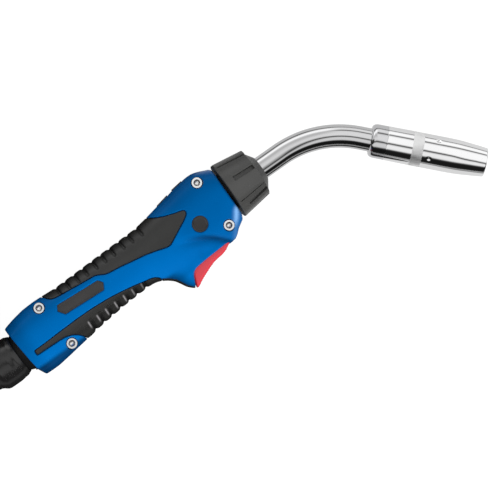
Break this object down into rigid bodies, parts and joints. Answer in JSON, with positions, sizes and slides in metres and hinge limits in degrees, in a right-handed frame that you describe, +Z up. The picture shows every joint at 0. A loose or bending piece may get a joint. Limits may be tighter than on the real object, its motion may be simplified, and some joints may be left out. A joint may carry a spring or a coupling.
{
  "type": "mig welding torch",
  "caption": "Hand torch for gas-shielded wire welding: shaped two-shell handle with trigger, swivelling bent neck, pull-off gas nozzle, ball-jointed coiled hose and plug.",
  "frame": {"origin": "middle of the torch's own box (handle to nozzle, without the hose, boot, coil and plug) on the bench it lies on", "axes": "+X along the handle towards the nozzle, +Y towards the back of the handle, away from the trigger, +Z up; the torch lies on its left side"},
  "size_m": [0.6517, 0.3692, 0.0671],
  "materials": {
    "blue_shell": "fine satin",
    "grip_rubber": "matt",
    "bare_plate": "matt",
    "screw_steel": "bright",
    "trigger_red": "satin",
    "nut_grey": "satin",
    "chrome": "polished",
    "brass": "machined",
    "copper": "machined",
    "black_plastic": "satin",
    "boot_rubber": "matt",
    "hose_rubber": "matt",
    "steel": "plain",
    "insulator": "matt",
    "wire_jacket": "gloss",
    "tie_strap": "woven"
  },
  "bodies": {
    "hose_package": {"ball_sleeve": "brass", "cable_boot": "boot_rubber", "hose_clamp": "steel", "hose_tube": "hose_rubber", "hose_coil": "hose_rubber", "coil_ties": "tie_strap", "connector_bend_guard": "boot_rubber", "connector_housing": "black_plastic", "connector_contact_block": "brass", "connector_centre_tube": "brass", "connector_o_ring": "boot_rubber", "connector_control_pins": "brass", "connector_gas_pin": "brass"},
    "swivel_ball": {"swivel_ball": "black_plastic"},
    "seat_ring": {"ball_seat_ring": "insulator"},
    "handle": {"right_shell": "blue_shell", "left_shell": "blue_shell", "right_top_grip": "grip_rubber", "left_top_grip": "grip_rubber", "right_lower_grip": "grip_rubber", "left_lower_grip": "grip_rubber", "right_label_plate": "bare_plate", "left_label_plate": "bare_plate", "right_emblem_disc": "bare_plate", "left_emblem_disc": "bare_plate", "handle_screws": "screw_steel", "handle_nuts": "screw_steel", "spine_insert": "black_plastic", "trigger_pin": "steel", "trigger_spring": "steel", "microswitch_body": "black_plastic", "control_leads": "wire_jacket", "central_block": "brass", "cable_gland_nut": "brass", "inner_cable": "hose_rubber"},
    "trigger": {"trigger": "trigger_red"},
    "plunger": {"microswitch_plunger": "insulator"},
    "union_nut": {"union_nut": "nut_grey"},
    "neck": {"neck_tube": "chrome", "neck_insulation": "insulator", "neck_core": "copper", "neck_flange": "brass", "neck_o_rings": "boot_rubber", "wire_liner": "steel", "neck_collar": "chrome", "gas_diffuser": "brass", "contact_tip": "copper", "nozzle_insulator": "insulator", "nozzle_spring": "steel"},
    "nozzle": {"gas_nozzle": "chrome"},
    "connector_ring": {"connector_ring_nut": "black_plastic"}
  },
  "joints": [
    {"name": "hose_twist", "type": "hinge", "parent": "hose_package", "child": "swivel_ball", "pos_m": [-0.17897, 0.02829, 0.0231], "axis": [0.9925, 0, 0.1219], "range_deg": [-30, 30]},
    {"name": "ball_yaw", "type": "hinge", "parent": "swivel_ball", "child": "seat_ring", "pos_m": [-0.17897, 0.02829, 0.0231], "axis": [0, 0, 1], "range_deg": [-10, 10]},
    {"name": "ball_pitch", "type": "hinge", "parent": "seat_ring", "child": "handle", "pos_m": [-0.17897, 0.02829, 0.0231], "axis": [0, 1, 0], "range_deg": [-17, 3]},
    {"name": "trigger_press", "type": "hinge", "parent": "handle", "child": "trigger", "pos_m": [-0.00897, 0.00979, 0.0231], "axis": [0, 0, -1], "range_deg": [0, 5], "stiffness_Nm_per_rad": 0.5, "springref_deg": -17.19},
    {"name": "plunger_slide", "type": "slide", "parent": "handle", "child": "plunger", "axis": [0, 1, 0], "range_m": [0, 0.001]},
    {"name": "nut_turn", "type": "hinge", "parent": "handle", "child": "union_nut", "pos_m": [0.01303, 0.03779, 0.0231], "axis": [1, 0, 0], "continuous": true},
    {"name": "neck_swivel", "type": "hinge", "parent": "handle", "child": "neck", "pos_m": [0.01303, 0.03779, 0.0231], "axis": [-1, 0, 0], "continuous": true},
    {"name": "nozzle_pull", "type": "slide", "parent": "neck", "child": "nozzle", "axis": [0.6938, -0.7202, 0], "range_m": [0, 0.08]},
    {"name": "connector_ring_turn", "type": "hinge", "parent": "hose_package", "child": "connector_ring", "pos_m": [-0.19328, 0.27474, 0.0456], "axis": [0.9848, -0.1736, 0], "continuous": true}
  ],
  "couplings": [
    {"joint": "plunger_slide", "follows": "trigger_press", "m_per_rad": 0.011}
  ]
}
